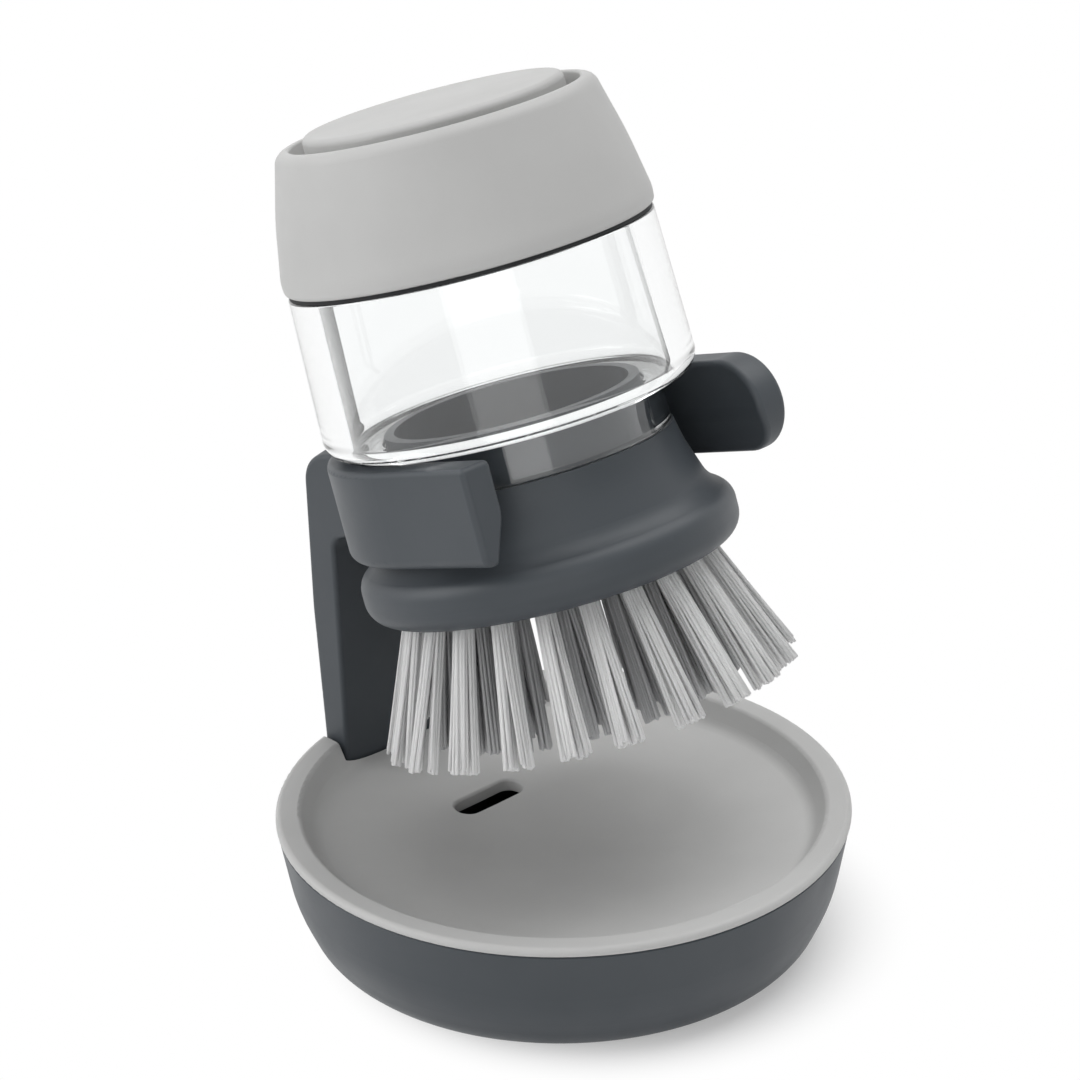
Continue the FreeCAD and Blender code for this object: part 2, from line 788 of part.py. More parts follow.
def make_brush_head():
    """Bell-shaped head: collar and spigot for the neck, soap cup, throat and the plate's recess."""
    cup_radius = spigot_radius - spigot_wall
    recess_radius = plate_radius + push_fit
    body = turned([
        (collar_bore, collar_top),
        (collar_radius, collar_top),
        (bell_shoulder_radius, -bell_shoulder_drop, bell_shoulder_rounding),
        (bell_flare_radius, -bell_flare_drop, bell_flare_rounding),
        (flange_radius, -flange_top_drop, flange_top_rounding),
        (flange_radius, -head_drop, flange_low_rounding),
        (recess_radius, -head_drop),
        (recess_radius, plate_top),
        (throat_radius, plate_top),
        (throat_radius, -cup_floor_drop - cup_fall),
        (cup_radius, -cup_floor_drop),
        (cup_radius, spigot_top),
        (spigot_radius, spigot_top),
        (spigot_radius, seal_floor),
        (collar_bore, seal_floor)])
    thread = thread_ridges(
        collar_bore, -neck_thread_reach, neck_thread_height, neck_thread_lead,
        neck_bottom + neck_thread_start + neck_thread_pitch / 2)
    return body.fuse(thread)


def make_tuft_plate():
    """Plate in the head's underside with the tuft holes and the valve's pocket."""
    pocket_radius = valve_flange_radius + valve_pocket_gap
    body = turned([
        (throat_radius, plate_top),
        (plate_radius, plate_top),
        (plate_radius, -head_drop),
        (pocket_radius, -head_drop),
        (pocket_radius, valve_pocket_depth - head_drop),
        (throat_radius, valve_pocket_depth - head_drop)])
    return body.cut(tuft_holes())


def make_dispensing_valve():
    """Silicone valve: a flange in the plate's pocket and a domed lip with a slit."""
    top = valve_pocket_depth - head_drop
    low = top - valve_flange
    tip = low - valve_dome_length
    tip_radius = valve_dome_radius - valve_dome_taper
    body = turned([
        (valve_dome_radius - valve_wall, top),
        (valve_flange_radius, top),
        (valve_flange_radius, low),
        (valve_dome_radius, low),
        (tip_radius, tip, valve_rounding),
        (0, tip),
        (0, tip + valve_wall),
        (tip_radius - valve_wall, tip + valve_wall)])
    slit = box_between(
        (-valve_slit_length / 2, -valve_slit_width / 2, tip - cut_overrun),
        (valve_slit_length / 2, valve_slit_width / 2, tip + valve_wall + cut_overrun))
    return body.cut(slit)


def make_valve_retainer():
    """Ring pushed into the pocket under the valve, flush with the plate's underside."""
    top = valve_pocket_depth - valve_flange - head_drop
    inner = valve_dome_radius + valve_ring_gap
    outer = valve_flange_radius + valve_pocket_gap - push_fit
    return turned([
        (inner, top),
        (outer, top),
        (outer, -head_drop),
        (inner, -head_drop, soft_edge)])


def anchor_blade(radius):
    """Wire anchor lying across the bottom of one tuft hole."""
    half_length = math.sqrt(radius * radius - anchor_thickness * anchor_thickness / 4)
    return box_between(
        (-anchor_thickness / 2, -half_length, tuft_hole_depth - anchor_height),
        (anchor_thickness / 2, half_length, tuft_hole_depth))


def make_tufts(count, circle, splay):
    """Ring of fanned nylon tufts, each slotted at its root round its anchor."""
    root = Part.makeCylinder(tuft_root_radius, tuft_hole_depth)
    fan_length = tuft_length / math.cos(math.radians(splay))
    fan = Part.makeCone(tuft_tip_radius, tuft_root_radius, fan_length, FreeCAD.Vector(0, 0, -fan_length))
    slot = box_between(
        (-anchor_thickness / 2 - push_fit, -tuft_tip_radius, tuft_hole_depth - anchor_height - push_fit),
        (anchor_thickness / 2 + push_fit, tuft_tip_radius, tuft_hole_depth + cut_overrun))
    tuft = root.fuse(fan).cut(slot)
    return Part.makeCompound(spaced(on_tuft_axis(tuft, circle, splay), count))


def make_tuft_anchors(count, circle, splay):
    """Ring of wire anchors at the bottoms of the tuft holes."""
    blade = anchor_blade(tuft_root_radius)
    return Part.makeCompound(spaced(on_tuft_axis(blade, circle, splay), count))


def export(name, shape):
    """Writes one piece to its own file and prints what it holds."""
    solids = shape.Solids
    valid = all(solid.isValid() for solid in solids)
    volume = sum(solid.Volume for solid in solids)
    print(name, "solids", len(solids), "valid", valid, "volume", round(volume, 1))
    shape.exportStep("parts/" + name + ".step")


def main():
    """Builds every piece in its place and writes it out."""
    os.makedirs("parts", exist_ok=True)
    export("base_bowl", make_base_bowl())
    export("foot_pad", make_foot_pad())
    export("drip_tray", make_drip_tray())
    export("cradle_upright", make_cradle_upright())
    brush_pieces = {
        "reservoir": make_reservoir(),
        "cap_gasket": make_cap_gasket(),
        "cap_shell": make_cap_shell(),
        "push_button": make_push_button(),
        "button_spring": make_button_spring(),
        "pump_diaphragm": make_pump_diaphragm(),
        "diaphragm_retainer": make_diaphragm_retainer(),
        "neck_seal": make_neck_seal(),
        "brush_head": make_brush_head(),
        "tuft_plate": make_tuft_plate(),
        "dispensing_valve": make_dispensing_valve(),
        "valve_retainer": make_valve_retainer()}
    for ring, (count, circle, splay) in tuft_rings().items():
        brush_pieces["tufts_" + ring] = make_tufts(count, circle, splay)
        brush_pieces["tuft_anchors_" + ring] = make_tuft_anchors(count, circle, splay)
    for name, shape in brush_pieces.items():
        export(name, leaned(shape))


main()
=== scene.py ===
import json
import logging
import math
from dataclasses import dataclass
from enum import Enum
from typing import Any

import bpy
import numpy as np
from mathutils import Matrix, Vector


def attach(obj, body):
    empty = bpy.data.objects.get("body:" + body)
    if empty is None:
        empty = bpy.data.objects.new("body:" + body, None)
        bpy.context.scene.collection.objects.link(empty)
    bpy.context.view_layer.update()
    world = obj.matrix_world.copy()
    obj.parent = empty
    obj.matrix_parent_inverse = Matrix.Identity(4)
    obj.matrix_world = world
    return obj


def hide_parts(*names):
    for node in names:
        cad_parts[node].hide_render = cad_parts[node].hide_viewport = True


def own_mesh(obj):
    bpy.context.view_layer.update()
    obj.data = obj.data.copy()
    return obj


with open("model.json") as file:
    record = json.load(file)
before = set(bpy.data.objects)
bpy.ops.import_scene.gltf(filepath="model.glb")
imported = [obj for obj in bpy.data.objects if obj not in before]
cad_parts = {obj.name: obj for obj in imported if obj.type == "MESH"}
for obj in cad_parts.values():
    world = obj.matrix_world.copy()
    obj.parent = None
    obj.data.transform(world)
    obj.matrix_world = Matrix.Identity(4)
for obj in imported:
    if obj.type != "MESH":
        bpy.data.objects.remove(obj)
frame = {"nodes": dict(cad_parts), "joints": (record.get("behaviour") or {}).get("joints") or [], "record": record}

# Looks of a palm-held dish brush that is parked in its stand: finishes for the moulded shells,
# a turned clear tank, tufts of single filaments, the soft parts of the pump and a plain white
# studio.

LOG = logging.getLogger("dish_brush")
MM = 0.001
FULL_TURN = 2.0 * math.pi
FULL_TURN_DEG = 360.0
GOLDEN_ANGLE = math.pi * (3.0 - math.sqrt(5.0))
IMAGE_PIXELS = 1080
SENSOR_MM = 36.0
# Each filament's random tint, which in the middle and inner rings is painted shade.
TINT_AND_SHADE_ATTRIBUTE = "filament_tint"
Colour = tuple[float, float, float, float]

# Most of a noise pattern lies between these two values.
NOISE_LOW = 0.3
NOISE_HIGH = 0.7

# A direction that is almost upright, and never in line with a tuft.
ALMOST_UP = (0.0, 1e-3, 1.0)


class Body(str, Enum):
    """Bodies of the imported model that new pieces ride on."""

    BRUSH = "brush"
    CAP = "cap"
    HEAD = "head"


class Slot(str, Enum):
    """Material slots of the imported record."""

    SLATE = "slate_plastic"
    LIGHT_GREY = "light_grey_plastic"
    CLEAR = "clear_plastic"
    INNER_WHITE = "inner_white_plastic"
    SILICONE = "silicone"
    RUBBER = "dark_rubber"
    NYLON = "bristle_nylon"
    STEEL = "steel_wire"


def linear(hex_colour: str) -> Colour:
    """Turns an sRGB colour into linear light by the curve of the sRGB standard.

    Args:
        hex_colour: the colour as "#RRGGBB".

    Returns:
        Linear red, green, blue and an alpha of 1.
    """
    channels = np.array([int(hex_colour[start:start + 2], 16) for start in (1, 3, 5)]) / 255.0
    curved = ((channels + 0.055) / 1.055) ** 2.4
    red, green, blue = np.where(channels <= 0.04045, channels / 12.92, curved).tolist()
    return red, green, blue, 1.0


def shade(colour: Colour, share: float) -> Colour:
    """Returns a linear colour made darker or lighter by a share."""
    return colour[0] * share, colour[1] * share, colour[2] * share, 1.0


def per_metre(size_mm: float) -> float:
    """Returns the scale of a pattern whose blotches have a size in millimetres."""
    return 1.0 / (size_mm * MM)


def add_node(
    tree: bpy.types.NodeTree,
    kind: str,
    inputs: dict[str | int, Any] | None = None,
    **settings: Any,
) -> bpy.types.Node:
    """Adds one node with its settings and links.

    Args:
        tree: the node tree that gets the node.
        kind: Blender's name of the node type.
        inputs: values to set, or output sockets to link, by input name or number.
        settings: property values by property name.

    Returns:
        The new node.
    """
    node = tree.nodes.new(kind)
    for name, value in settings.items():
        setattr(node, name, value)
    for key, value in (inputs or {}).items():
        if isinstance(value, bpy.types.NodeSocket):
            tree.links.new(value, node.inputs[key])
        else:
            node.inputs[key].default_value = value
    return node


def start_material(name: str) -> tuple[bpy.types.Material, bpy.types.NodeTree, bpy.types.NodeSocket]:
    """Starts an empty node material.

    Args:
        name: what the material is.

    Returns:
        The material, its node tree, and the socket of the piece's own coordinates in metres.
    """
    material = bpy.data.materials.new(name)
    material.use_nodes = True
    tree = material.node_tree
    tree.nodes.clear()
    return material, tree, add_node(tree, "ShaderNodeTexCoord").outputs["Object"]


@dataclass(frozen=True)
class MouldedPlastic:
    """Plastic moulded in a spark-eroded tool.

    The eye sees a matte skin: a fine grain breaks up the highlights, and broad soft clouds are
    a little darker or glossier, as on a moulding that has been handled. The grain is drawn
    about twice as coarse as a real one, so that it shows in the render.
    """

    name: str
    colour: str
    roughness: float
    specular: float = 0.5
    index: float = 1.5
    grain_mm: float = 0.3
    grain_depth_mm: float = 0.012
    cloud_mm: float = 16.0
    cloud_share: float = 0.05
    gloss_spread: float = 0.06

    def build(self) -> bpy.types.Material:
        """Makes the material with its grain, clouds and uneven gloss.

        Returns:
            The new material.
        """
        material, tree, place = start_material(self.name)
        colour = linear(self.colour)
        clouds = add_node(tree, "ShaderNodeTexNoise", {
            "Vector": place, "Scale": per_metre(self.cloud_mm), "Detail": 4.0, "Roughness": 0.55})
        tint = add_node(tree, "ShaderNodeMix", {
            0: clouds.outputs["Fac"],
            6: shade(colour, 1.0 - self.cloud_share),
            7: shade(colour, 1.0 + self.cloud_share)}, data_type="RGBA")
        gloss = add_node(tree, "ShaderNodeMapRange", {
            "Value": clouds.outputs["Fac"], "From Min": NOISE_LOW, "From Max": NOISE_HIGH,
            "To Min": self.roughness + self.gloss_spread,
            "To Max": self.roughness - self.gloss_spread})
        grain = add_node(tree, "ShaderNodeTexNoise", {
            "Vector": place, "Scale": per_metre(self.grain_mm), "Detail": 3.0})
        dents = add_node(tree, "ShaderNodeBump", {
            "Height": grain.outputs["Fac"], "Distance": self.grain_depth_mm * MM, "Strength": 1.0})
        surface = add_node(tree, "ShaderNodeBsdfPrincipled", {
            "Base Color": tint.outputs[2], "Roughness": gloss.outputs["Result"],
            "Normal": dents.outputs["Normal"], "IOR": self.index, "Specular IOR Level": self.specular})
        add_node(tree, "ShaderNodeOutputMaterial", {"Surface": surface.outputs["BSDF"]})
        return material


@dataclass(frozen=True)
class ClearPlastic:
    """Polished clear styrene plastic.

    The eye sees through it: the thick wall bends what stands behind it into bright and dark
    bands, and long shallow flow waves of the moulding make these bands a little uneven.
    """

    name: str
    colour: str
    index: float = 1.57
    wave_mm: float = 12.0
    wave_depth_mm: float = 0.006
    haze: float = 0.02

    def build(self) -> bpy.types.Material:
        """Makes the refracting material with its flow waves and a trace of haze.

        Returns:
            The new material.
        """
        material, tree, place = start_material(self.name)
        waves = add_node(tree, "ShaderNodeTexNoise", {
            "Vector": place, "Scale": per_metre(self.wave_mm), "Detail": 1.0})
        haze = add_node(tree, "ShaderNodeMapRange", {
            "Value": waves.outputs["Fac"], "From Min": NOISE_LOW, "From Max": NOISE_HIGH,
            "To Min": 0.0, "To Max": self.haze})
        flow = add_node(tree, "ShaderNodeBump", {
            "Height": waves.outputs["Fac"], "Distance": self.wave_depth_mm * MM, "Strength": 1.0})
        surface = add_node(tree, "ShaderNodeBsdfPrincipled", {
            "Base Color": linear(self.colour), "Transmission Weight": 1.0, "IOR": self.index,
            "Roughness": haze.outputs["Result"], "Normal": flow.outputs["Normal"]})
        add_node(tree, "ShaderNodeOutputMaterial", {"Surface": surface.outputs["BSDF"]})
        return material


@dataclass(frozen=True)
class NylonFilament:
    """Drawn nylon filament.

    The eye sees single strands with a satin line of light along each. Their tint differs a
    little from one to the next, and they let some light through, so that they glow against a
    bright background. The mesh's attribute also draws the filaments of the middle and inner
    rings towards a grey, which is painted shade for the shadow inside the brush.
    """

    name: str
    colour: str
    painted_shade_colour: str
    streak_mm: float = 0.7
    roughness: float = 0.4
    gloss_spread: float = 0.08
    clearness: float = 0.2
    index: float = 1.53

    def build(self) -> bpy.types.Material:
        """Makes the material, which reads the tint and painted shade attribute of its mesh.

        Returns:
            The new material.
        """
        material, tree, place = start_material(self.name)
        strand = add_node(tree, "ShaderNodeAttribute", attribute_name=TINT_AND_SHADE_ATTRIBUTE)
        # Mixes each strand from the painted shade grey to its own white by the attribute.
        tint = add_node(tree, "ShaderNodeMix", {
            0: strand.outputs["Fac"],
            6: linear(self.painted_shade_colour),
            7: linear(self.colour)}, data_type="RGBA")
        streaks = add_node(tree, "ShaderNodeTexNoise", {
            "Vector": place, "Scale": per_metre(self.streak_mm), "Detail": 2.0})
        gloss = add_node(tree, "ShaderNodeMapRange", {
            "Value": streaks.outputs["Fac"], "From Min": NOISE_LOW, "From Max": NOISE_HIGH,
            "To Min": self.roughness - self.gloss_spread,
            "To Max": self.roughness + self.gloss_spread})
        surface = add_node(tree, "ShaderNodeBsdfPrincipled", {
            "Base Color": tint.outputs[2], "Roughness": gloss.outputs["Result"],
            "IOR": self.index, "Transmission Weight": self.clearness})
        add_node(tree, "ShaderNodeOutputMaterial", {"Surface": surface.outputs["BSDF"]})
        return material


@dataclass(frozen=True)
class SoftRubber:
    """Moulded silicone or thermoplastic rubber.

    The eye sees a dull skin with a faint bloom. Silicone also lets light soak in, which rubber
    with soot in it does not.
    """

    name: str
    colour: str
    roughness: float
    soak: float
    soak_depth_mm: float = 1.0
    index: float = 1.42
    bloom_mm: float = 7.0
    bloom_share: float = 0.1
    gloss_spread: float = 0.07
    grain_mm: float = 0.35
    grain_depth_mm: float = 0.015

    def build(self) -> bpy.types.Material:
        """Makes the material with its bloom and fine grain.

        Returns:
            The new material.
        """
        material, tree, place = start_material(self.name)
        colour = linear(self.colour)
        bloom = add_node(tree, "ShaderNodeTexNoise", {
            "Vector": place, "Scale": per_metre(self.bloom_mm), "Detail": 4.0})
        tint = add_node(tree, "ShaderNodeMix", {
            0: bloom.outputs["Fac"],
            6: shade(colour, 1.0 - self.bloom_share),
            7: shade(colour, 1.0 + self.bloom_share)}, data_type="RGBA")
        gloss = add_node(tree, "ShaderNodeMapRange", {
            "Value": bloom.outputs["Fac"], "From Min": NOISE_LOW, "From Max": NOISE_HIGH,
            "To Min": self.roughness - self.gloss_spread,
            "To Max": self.roughness + self.gloss_spread})
        grain = add_node(tree, "ShaderNodeTexNoise", {
            "Vector": place, "Scale": per_metre(self.grain_mm), "Detail": 3.0})
        dents = add_node(tree, "ShaderNodeBump", {
            "Height": grain.outputs["Fac"], "Distance": self.grain_depth_mm * MM, "Strength": 1.0})
        surface = add_node(tree, "ShaderNodeBsdfPrincipled", {
            "Base Color": tint.outputs[2], "Roughness": gloss.outputs["Result"],
            "Normal": dents.outputs["Normal"], "IOR": self.index, "Subsurface Weight": self.soak,
            "Subsurface Radius": (1.0, 1.0, 1.0), "Subsurface Scale": self.soak_depth_mm * MM})
        add_node(tree, "ShaderNodeOutputMaterial", {"Surface": surface.outputs["BSDF"]})
        return material


@dataclass(frozen=True)
class DrawnSteel:
    """Stainless wire, drawn through a die.

    The eye sees a bright metal with a slightly brushed highlight.
    """

    name: str
    colour: str
    roughness: float = 0.28
    gloss_spread: float = 0.06
    scratch_mm: float = 0.25
    scratch_depth_mm: float = 0.003

    def build(self) -> bpy.types.Material:
        """Makes the metal with its fine scratches.

        Returns:
            The new material.
        """
        material, tree, place = start_material(self.name)
        scratches = add_node(tree, "ShaderNodeTexNoise", {
            "Vector": place, "Scale": per_metre(self.scratch_mm), "Detail": 3.0})
        gloss = add_node(tree, "ShaderNodeMapRange", {
            "Value": scratches.outputs["Fac"], "From Min": NOISE_LOW, "From Max": NOISE_HIGH,
            "To Min": self.roughness - self.gloss_spread,
            "To Max": self.roughness + self.gloss_spread})
        dents = add_node(tree, "ShaderNodeBump", {
            "Height": scratches.outputs["Fac"], "Distance": self.scratch_depth_mm * MM, "Strength": 1.0})
        surface = add_node(tree, "ShaderNodeBsdfPrincipled", {
            "Base Color": linear(self.colour), "Metallic": 1.0, "Roughness": gloss.outputs["Result"],
            "Normal": dents.outputs["Normal"]})
        add_node(tree, "ShaderNodeOutputMaterial", {"Surface": surface.outputs["BSDF"]})
        return material


FINISHES = {
    # Matte polypropylene: a dark blue grey whose edges show only broad, soft lights.
    Slot.SLATE: MouldedPlastic("PP_slate_matte", "#464B50", 0.46, specular=0.38, index=1.49),
    # Satin moulding: a pale grey that shades evenly round the cap and the tray.
    Slot.LIGHT_GREY: MouldedPlastic("ABS_light_grey_satin", "#C9C9C8", 0.55, specular=0.4, index=1.52),
    # Polished tank: almost colourless, with bright and dark bands along its thick wall.
    Slot.CLEAR: ClearPlastic("SAN_clear_polished", "#FCFDFD"),
    # Natural acetal rings: a plain white with a faint waxy gloss.
    Slot.INNER_WHITE: MouldedPlastic("POM_natural_white", "#DADAD7", 0.42, index=1.48),
    # Silicone of the pump, seal and valve: a milky skin that light soaks into.
    Slot.SILICONE: SoftRubber("silicone_translucent", "#CFD1D2", 0.48, 0.5),
    # Black rubber of the gasket and the pad: dull, a thin dark line under the cap.
    Slot.RUBBER: SoftRubber("TPE_black", "#1D1E20", 0.7, 0.0),
    # White nylon: bright outer tufts, and a grey towards the middle of the brush that is painted shade.
    Slot.NYLON: NylonFilament("PA66_white_filament", "#FCFCFC", "#8C8D90"),
    # Spring and anchor wire: bright metal with a slightly brushed highlight.
    Slot.STEEL: DrawnSteel("stainless_drawn_wire", "#C9CACC"),
}


class Wardrobe:
    """The finishes as materials, each made once, and the pieces that wear them."""

    def __init__(self) -> None:
        """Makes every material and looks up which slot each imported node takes."""
        self.materials = {slot: finish.build() for slot, finish in FINISHES.items()}
        rows = frame["record"]["subparts"]
        self.node_slots = {row["node"]: Slot(row["material_slot"]) for row in rows}

    def dress_nodes(self, *nodes: str) -> None:
        """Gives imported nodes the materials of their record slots.

        Args:
            nodes: names of the nodes.
        """
        for node in nodes:
            mesh = frame["nodes"][node].data
            mesh.materials.clear()
            mesh.materials.append(self.materials[self.node_slots[node]])
            LOG.info("%s wears %s", node, mesh.materials[0].name)

    def add_piece(self, mesh: bpy.types.Mesh, body: Body, slot: Slot, *nodes: str) -> bpy.types.Object:
        """Puts a new piece into the scene.

        Args:
            mesh: its mesh, in metres and in its place; the piece takes its name.
            body: the body that it rides on.
            slot: the record slot whose finish it takes.
            nodes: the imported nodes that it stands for.

        Returns:
            The new object.
        """
        piece = bpy.data.objects.new(mesh.name, mesh)
        bpy.context.scene.collection.objects.link(piece)
        mesh.materials.append(self.materials[slot])
        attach(piece, body.value)
        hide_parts(*nodes)
        LOG.info("%s has %d faces and wears %s", mesh.name, len(mesh.polygons), mesh.materials[0].name)
        return piece


class BrushAxis:
    """The brush's own upright frame, with its zero on the underside of the reservoir's shoulder."""

    def __init__(self, joint_name: str = "cap_turn") -> None:
        """Reads the seat and the lean from a packed joint.

        Args:
            joint_name: a joint that turns about the brush's axis.
        """
        joint = next(row for row in frame["joints"] if row["name"] == joint_name)
        self.seat = np.array(joint["pos_m"])
        self.up = np.array(joint["axis"]) / np.linalg.norm(joint["axis"])
        self.right = np.array([1.0, 0.0, 0.0])
        self.rear = np.cross(self.up, self.right)

    def place(self, points_mm: np.ndarray) -> np.ndarray:
        """Moves points from the brush's frame to the shared frame.

        Args:
            points_mm: points (..., 3) in millimetres, as right, rear and up.

        Returns:
            The same points in metres.
        """
        return self.seat + MM * points_mm @ np.stack([self.right, self.rear, self.up])


def grid_faces(rows: int, columns: int) -> np.ndarray:
    """Numbers the quads of a grid of points whose rows are closed rings.

    Args:
        rows: number of rows.
        columns: number of points in a row.

    Returns:
        An array (n, 4) of point numbers, counted along the rows.
    """
    row, column = np.meshgrid(np.arange(rows - 1), np.arange(columns), indexing="ij")
    beside = (column + 1) % columns
    corners = [row * columns + column, row * columns + beside,
               (row + 1) * columns + beside, (row + 1) * columns + column]
    return np.stack(corners, axis=-1).reshape(-1, 4)


def end_faces(rows: int, columns: int) -> np.ndarray:
    """Numbers the two flat faces that close the first and the last ring of such a grid.

    Args:
        rows: number of rows.
        columns: number of points in a row.

    Returns:
        An array (2, columns) of point numbers.
    """
    ring = np.arange(columns)
    return np.stack([ring[::-1], ring + (rows - 1) * columns])


def smooth_mesh(name: str, points: np.ndarray, faces: list[list[int]]) -> bpy.types.Mesh:
    """Makes a smooth-shaded mesh.

    Args:
        name: name of the mesh.
        points: points (n, 3) in metres.
        faces: lists of point numbers.

    Returns:
        The mesh.
    """
    mesh = bpy.data.meshes.new(name)
    mesh.from_pydata(points, [], faces)
    mesh.polygons.foreach_set("use_smooth", np.ones(len(mesh.polygons), dtype=bool))
    mesh.update()
    return mesh


@dataclass(frozen=True)
class TuftRing:
    """One ring of tufts: how many, on which circle, how far they splay and fan out, and their tint, whose range is
    painted shade in the middle and inner rings.

    The fan's power says how late a tuft widens: below 1 it widens close to its root.
    """

    name: str
    count: int
    circle_mm: float
    splay_deg: float
    tip_radius_mm: float
    fan_power: float
    tints_and_painted_shade: tuple[float, float]


@dataclass
class BrushHead:
    """Brush head with its plate, valve and filament tufts."""

    axis: BrushAxis
    head_drop_mm: float = 26.0
    tuft_length_mm: float = 21.2
    tuft_root_radius_mm: float = 1.75
    root_depth_mm: float = 4.5
    filament_radius_mm: float = 0.27
    filaments_per_tuft: int = 38
    filament_sides: int = 6
    filament_rings: int = 7
    tip_dome_mm: float = 0.14
    tip_dome_share: float = 0.55
    length_scatter_mm: float = 0.7
    bend_scatter_mm: float = 0.35
    lean_scatter: float = 0.03
    clumps_per_tuft: int = 4
    clump_circle_share: float = 0.7
    clump_turn_scatter: float = 0.4
    clump_pull: float = 0.45
    seed: int = 11
    # The low tints of the middle and inner rings are painted shade for the shadow inside the brush.
    rings: tuple[TuftRing, ...] = (
        TuftRing("outer", count=21, circle_mm=22.6, splay_deg=21.5,
                 tip_radius_mm=3.3, fan_power=1.25, tints_and_painted_shade=(0.8, 1.0)),
        TuftRing("middle", count=14, circle_mm=17.2, splay_deg=12.5,
                 tip_radius_mm=3.8, fan_power=0.7, tints_and_painted_shade=(0.25, 0.55)),
        TuftRing("inner", count=8, circle_mm=11.9, splay_deg=5.5,
                 tip_radius_mm=3.8, fan_power=0.7, tints_and_painted_shade=(0.1, 0.4)))

    def build(self, wardrobe: Wardrobe) -> None:
        """Dresses the head's nodes and replaces the plain tufts.

        Args:
            wardrobe: the finishes.
        """
        wardrobe.dress_nodes("brush_head", "tuft_plate", "dispensing_valve", "valve_retainer")
        for number, ring in enumerate(self.rings):
            wardrobe.dress_nodes("tuft_anchors_" + ring.name)
            mesh = self.tuft_mesh(ring, np.random.default_rng(self.seed + number))
            wardrobe.add_piece(mesh, Body.HEAD, Slot.NYLON, "tufts_" + ring.name)

    def spread_in_tuft(
        self, ring: TuftRing, random: np.random.Generator,
    ) -> tuple[np.ndarray, np.ndarray]:
        """Lays the filaments of each tuft in a unit disc, at its root and at its tip.

        At the root they fill the disc evenly, as seeds fill a sunflower: the radius grows with
        the square root of the number, and the angle by the golden angle. At the tip each one is
        pulled part of the way to the nearest of a few points round the disc, so that the tuft
        parts into strands.

        Args:
            ring: the ring to lay.
            random: source of the scatter.

        Returns:
            Places (tuft, filament, 2) at the root and at the tip.
        """
        order = np.arange(self.filaments_per_tuft)
        radius = np.sqrt((order + 0.5) / self.filaments_per_tuft)
        angle = order * GOLDEN_ANGLE + random.uniform(0.0, FULL_TURN, (ring.count, 1))
        root = radius[:, None] * np.stack([np.cos(angle), np.sin(angle)], axis=-1)
        turn = np.arange(self.clumps_per_tuft) * FULL_TURN / self.clumps_per_tuft
        turn = turn + random.uniform(0.0, FULL_TURN, (ring.count, 1))
        turn = turn + self.clump_turn_scatter * random.uniform(-1.0, 1.0, turn.shape)
        clumps = self.clump_circle_share * np.stack([np.cos(turn), np.sin(turn)], axis=-1)
        apart = np.linalg.norm(root[:, :, None, :] - clumps[:, None, :, :], axis=-1)
        nearest = np.take_along_axis(clumps, apart.argmin(axis=-1)[:, :, None], axis=1)
        return root, root + self.clump_pull * (nearest - root)

    def filament_lines(
        self, ring: TuftRing, random: np.random.Generator,
    ) -> tuple[np.ndarray, np.ndarray]:
        """Lays the centre lines of all filaments of a ring.

        Each one starts inside its hole and leaves it straight. Its place across the tuft then
        goes from the root disc to the wider tip disc with a power of its share of the length,
        and a random sideways bend grows with the square of that share. Each tuft as a whole
        strays a little from its direction, and the tips end a little unevenly.

        Args:
            ring: the ring to lay.
            random: source of the scatter.

        Returns:
            Points (tuft, filament, ring, 3) in the brush's frame in millimetres, and each
            tuft's direction (tuft, 3).
        """
        shape = (ring.count, self.filaments_per_tuft)
        root, tip = self.spread_in_tuft(ring, random)
        fan_length = self.tuft_length_mm / math.cos(math.radians(ring.splay_deg))
        length = fan_length - self.tip_dome_mm - self.length_scatter_mm * random.random(shape) ** 2
        share = np.linspace(-self.root_depth_mm / fan_length, 1.0, self.filament_rings - 1)
        share = np.append(share, 1.0 + self.tip_dome_mm / fan_length)
        free = np.clip(share, 0.0, 1.0)
        root_radius = self.tuft_root_radius_mm - self.filament_radius_mm
        tip_radius = ring.tip_radius_mm - self.filament_radius_mm - self.bend_scatter_mm
        fan = free[:, None] ** ring.fan_power
        bend = random.uniform(-1.0, 1.0, shape + (1, 2)) * self.bend_scatter_mm / math.sqrt(2.0)
        across = (root_radius * root[:, :, None, :] * (1.0 - fan)
                  + tip_radius * tip[:, :, None, :] * fan + bend * free[:, None] ** 2)
        along = length[:, :, None] * share
        turn = np.arange(ring.count) * FULL_TURN / ring.count
        outward = np.stack([np.cos(turn), np.sin(turn), np.zeros_like(turn)], axis=-1)
        sideways = np.stack([-np.sin(turn), np.cos(turn), np.zeros_like(turn)], axis=-1)
        down = np.array([0.0, 0.0, -1.0])
        lean = math.radians(ring.splay_deg)
        direction = math.cos(lean) * down + math.sin(lean) * outward
        level = math.cos(lean) * outward - math.sin(lean) * down
        start = ring.circle_mm * outward + self.head_drop_mm * down
        stray = self.lean_scatter * random.uniform(-1.0, 1.0, (ring.count, 1, 1, 2))
        across = across + stray * np.maximum(along, 0.0)[..., None]
        lines = (start[:, None, None, :]
                 + along[..., None] * direction[:, None, None, :]
                 + across[..., :1] * level[:, None, None, :]
                 + across[..., 1:] * sideways[:, None, None, :])
        return lines, direction

